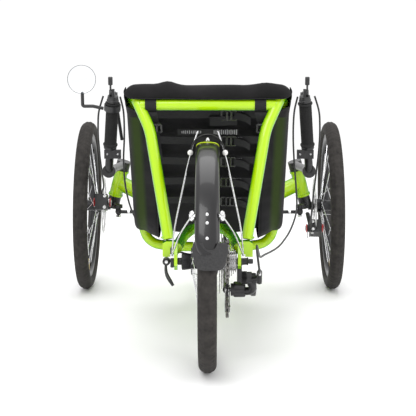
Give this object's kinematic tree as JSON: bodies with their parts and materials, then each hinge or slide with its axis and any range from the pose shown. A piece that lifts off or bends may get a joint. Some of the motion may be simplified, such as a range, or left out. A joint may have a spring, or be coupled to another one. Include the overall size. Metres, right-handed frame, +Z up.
{
  "type": "recumbent tadpole trike",
  "caption": "Recumbent pedal trike with two steered front wheels, a driven rear wheel, a mesh hammock seat and side handlebars.",
  "frame": {"origin": "on the ground under the middle of the whole trike, on its centre plane", "axes": "+X to the rider's right, +Y forward towards the pedals, +Z up"},
  "size_m": [0.7538, 1.6509, 0.655],
  "materials": {
    "frame_paint": "gloss neon green powder coat",
    "tyre_rubber": "matt tread rubber",
    "rim_black": "satin black anodised",
    "hub_black": "satin black anodised",
    "rotor_steel": "brushed steel",
    "drivetrain_steel": "oiled steel",
    "bright_steel": "polished",
    "black_alloy": "satin black",
    "gloss_black": "glossy black",
    "black_rubber": "matt rubber",
    "seat_mesh": "woven mesh",
    "mirror_glass": "silvered glass in a black shell",
    "black_plastic": "moulded plastic"
  },
  "bodies": {
    "frame": {"main_spine": "frame_paint", "cross_arm_left": "frame_paint", "cross_arm_right": "frame_paint", "head_tube_left": "frame_paint", "head_tube_right": "frame_paint", "horseshoe_stay": "frame_paint", "dropout_left": "frame_paint", "dropout_right": "frame_paint", "seat_rail_left": "frame_paint", "seat_rail_right": "frame_paint", "seat_crossbar": "frame_paint", "seat_supports": "frame_paint", "seat_mesh": "seat_mesh", "rear_axle": "bright_steel", "derailleur_body": "black_alloy", "rear_fender": "gloss_black", "mudflap": "black_rubber", "fender_stays": "bright_steel", "chain_drive": "drivetrain_steel", "chain_lower": "drivetrain_steel", "chain_tube": "black_plastic", "gear_cable_left": "black_plastic", "gear_cable_right": "black_plastic"},
    "boom": {"boom": "frame_paint"},
    "crankset": {"crank_arms": "black_alloy", "chainring": "drivetrain_steel"},
    "pedal_left": {"pedal_left": "black_plastic"},
    "pedal_right": {"pedal_right": "black_plastic"},
    "rear_wheel": {"rear_tyre": "tyre_rubber", "rear_rim": "rim_black", "rear_hub_and_spokes": "hub_black"},
    "cassette": {"cassette": "drivetrain_steel"},
    "idler": {"idler_wheel": "black_plastic"},
    "derailleur_cage": {"derailleur_cage": "black_alloy"},
    "upper_jockey": {"upper_jockey_wheel": "black_plastic"},
    "lower_jockey": {"lower_jockey_wheel": "black_plastic"},
    "steering_left": {"knuckle_left": "black_alloy", "handlebar_left": "black_alloy", "grip_left": "black_rubber", "brake_caliper_left": "black_alloy", "mirror_arm": "black_plastic"},
    "steering_right": {"knuckle_right": "black_alloy", "handlebar_right": "black_alloy", "grip_right": "black_rubber", "brake_caliper_right": "black_alloy"},
    "tie_rod": {"tie_rod": "black_alloy"},
    "front_wheel_left": {"front_tyre_left": "tyre_rubber", "front_rim_left": "rim_black", "front_hub_and_spokes_left": "hub_black", "brake_rotor_left": "rotor_steel"},
    "front_wheel_right": {"front_tyre_right": "tyre_rubber", "front_rim_right": "rim_black", "front_hub_and_spokes_right": "hub_black", "brake_rotor_right": "rotor_steel"},
    "brake_lever_left": {"brake_lever_left": "black_alloy"},
    "brake_lever_right": {"brake_lever_right": "black_alloy"},
    "shift_lever_left": {"shift_lever_left": "black_alloy"},
    "shift_lever_right": {"shift_lever_right": "black_alloy"},
    "mirror": {"mirror_head": "mirror_glass"},
    "qr_lever": {"qr_lever": "black_alloy"}
  },
  "joints": [
    {"name": "boom_slide", "type": "slide", "parent": "frame", "child": "boom", "axis": [0, 0.9121, 0.4099], "range_m": [-0.05, 0.05], "deforming": ["chain_drive"]},
    {"name": "crank_spin", "type": "hinge", "parent": "boom", "child": "crankset", "pos_m": [0, 0.723, 0.362], "axis": [1, 0, 0], "continuous": true},
    {"name": "pedal_right_spin", "type": "hinge", "parent": "crankset", "child": "pedal_right", "pos_m": [0.1, 0.723, 0.522], "axis": [1, 0, 0], "continuous": true},
    {"name": "pedal_left_spin", "type": "hinge", "parent": "crankset", "child": "pedal_left", "pos_m": [-0.1, 0.723, 0.202], "axis": [1, 0, 0], "continuous": true},
    {"name": "rear_wheel_spin", "type": "hinge", "parent": "frame", "child": "rear_wheel", "pos_m": [0, -0.567, 0.243], "axis": [1, 0, 0], "continuous": true},
    {"name": "cassette_spin", "type": "hinge", "parent": "frame", "child": "cassette", "pos_m": [0.045, -0.567, 0.243], "axis": [1, 0, 0], "continuous": true},
    {"name": "idler_spin", "type": "hinge", "parent": "frame", "child": "idler", "pos_m": [0.0432, -0.012, 0.182], "axis": [1, 0, 0], "continuous": true},
    {"name": "cage_pivot", "type": "hinge", "parent": "frame", "child": "derailleur_cage", "pos_m": [0.05, -0.545, 0.176], "axis": [1, 0, 0], "range_deg": [-14, 14], "stiffness_Nm_per_rad": 1.5, "deforming": ["chain_lower"]},
    {"name": "upper_jockey_spin", "type": "hinge", "parent": "derailleur_cage", "child": "upper_jockey", "pos_m": [0.0432, -0.545, 0.176], "axis": [1, 0, 0], "continuous": true},
    {"name": "lower_jockey_spin", "type": "hinge", "parent": "derailleur_cage", "child": "lower_jockey", "pos_m": [0.0432, -0.523, 0.131], "axis": [1, 0, 0], "continuous": true},
    {"name": "steer_right", "type": "hinge", "parent": "frame", "child": "steering_right", "pos_m": [0.262, 0.354, 0.311], "axis": [-0.2565, -0.1345, 0.9571], "range_deg": [-25, 25], "deforming": ["gear_cable_right"]},
    {"name": "steer_left", "type": "hinge", "parent": "frame", "child": "steering_left", "pos_m": [-0.262, 0.354, 0.311], "axis": [0.2565, -0.1345, 0.9571], "range_deg": [-27, 27], "deforming": ["gear_cable_left"]},
    {"name": "tie_rod_pivot", "type": "hinge", "parent": "steering_right", "child": "tie_rod", "pos_m": [0.258, 0.283, 0.235], "axis": [-0.2555, -0.062, 0.9648], "range_deg": [-34, 34]},
    {"name": "front_wheel_right_spin", "type": "hinge", "parent": "steering_right", "child": "front_wheel_right", "pos_m": [0.353, 0.366, 0.243], "axis": [0.9998, 0, 0.0175], "continuous": true},
    {"name": "front_wheel_left_spin", "type": "hinge", "parent": "steering_left", "child": "front_wheel_left", "pos_m": [-0.353, 0.366, 0.243], "axis": [0.9998, 0, -0.0175], "continuous": true},
    {"name": "brake_lever_right_pull", "type": "hinge", "parent": "steering_right", "child": "brake_lever_right", "pos_m": [0.25323, 0.09162, 0.57572], "axis": [-1, 0, 0], "range_deg": [0, 11], "stiffness_Nm_per_rad": 1.2, "springref_deg": -8.59},
    {"name": "brake_lever_left_pull", "type": "hinge", "parent": "steering_left", "child": "brake_lever_left", "pos_m": [-0.25323, 0.09162, 0.57572], "axis": [-1, 0, 0], "range_deg": [0, 11], "stiffness_Nm_per_rad": 1.2, "springref_deg": -8.59},
    {"name": "shift_lever_right_turn", "type": "hinge", "parent": "steering_right", "child": "shift_lever_right", "pos_m": [0.2517, 0.05469, 0.58259], "axis": [1, 0, 0], "range_deg": [-45, 60]},
    {"name": "shift_lever_left_turn", "type": "hinge", "parent": "steering_left", "child": "shift_lever_left", "pos_m": [-0.2517, 0.05469, 0.58259], "axis": [1, 0, 0], "range_deg": [-45, 60]},
    {"name": "mirror_swivel", "type": "hinge", "parent": "steering_left", "child": "mirror", "pos_m": [-0.3355, 0.079, 0.578], "axis": [0, 0, 1], "range_deg": [-35, 35]},
    {"name": "qr_lever_swing", "type": "hinge", "parent": "frame", "child": "qr_lever", "pos_m": [-0.09, -0.567, 0.243], "axis": [0, 1, 0], "range_deg": [0, 110]}
  ],
  "couplings": [
    {"joint": "cassette_spin", "follows": "crank_spin", "ratio": 2.2583},
    {"joint": "idler_spin", "follows": "crank_spin", "ratio": -3.6148},
    {"joint": "upper_jockey_spin", "follows": "crank_spin", "ratio": -5.0394},
    {"joint": "lower_jockey_spin", "follows": "crank_spin", "ratio": 5.0394},
    {"joint": "steer_left", "follows": "steer_right", "ratio": 0.98293},
    {"joint": "tie_rod_pivot", "follows": "steer_right", "ratio": -1.0736}
  ]
}
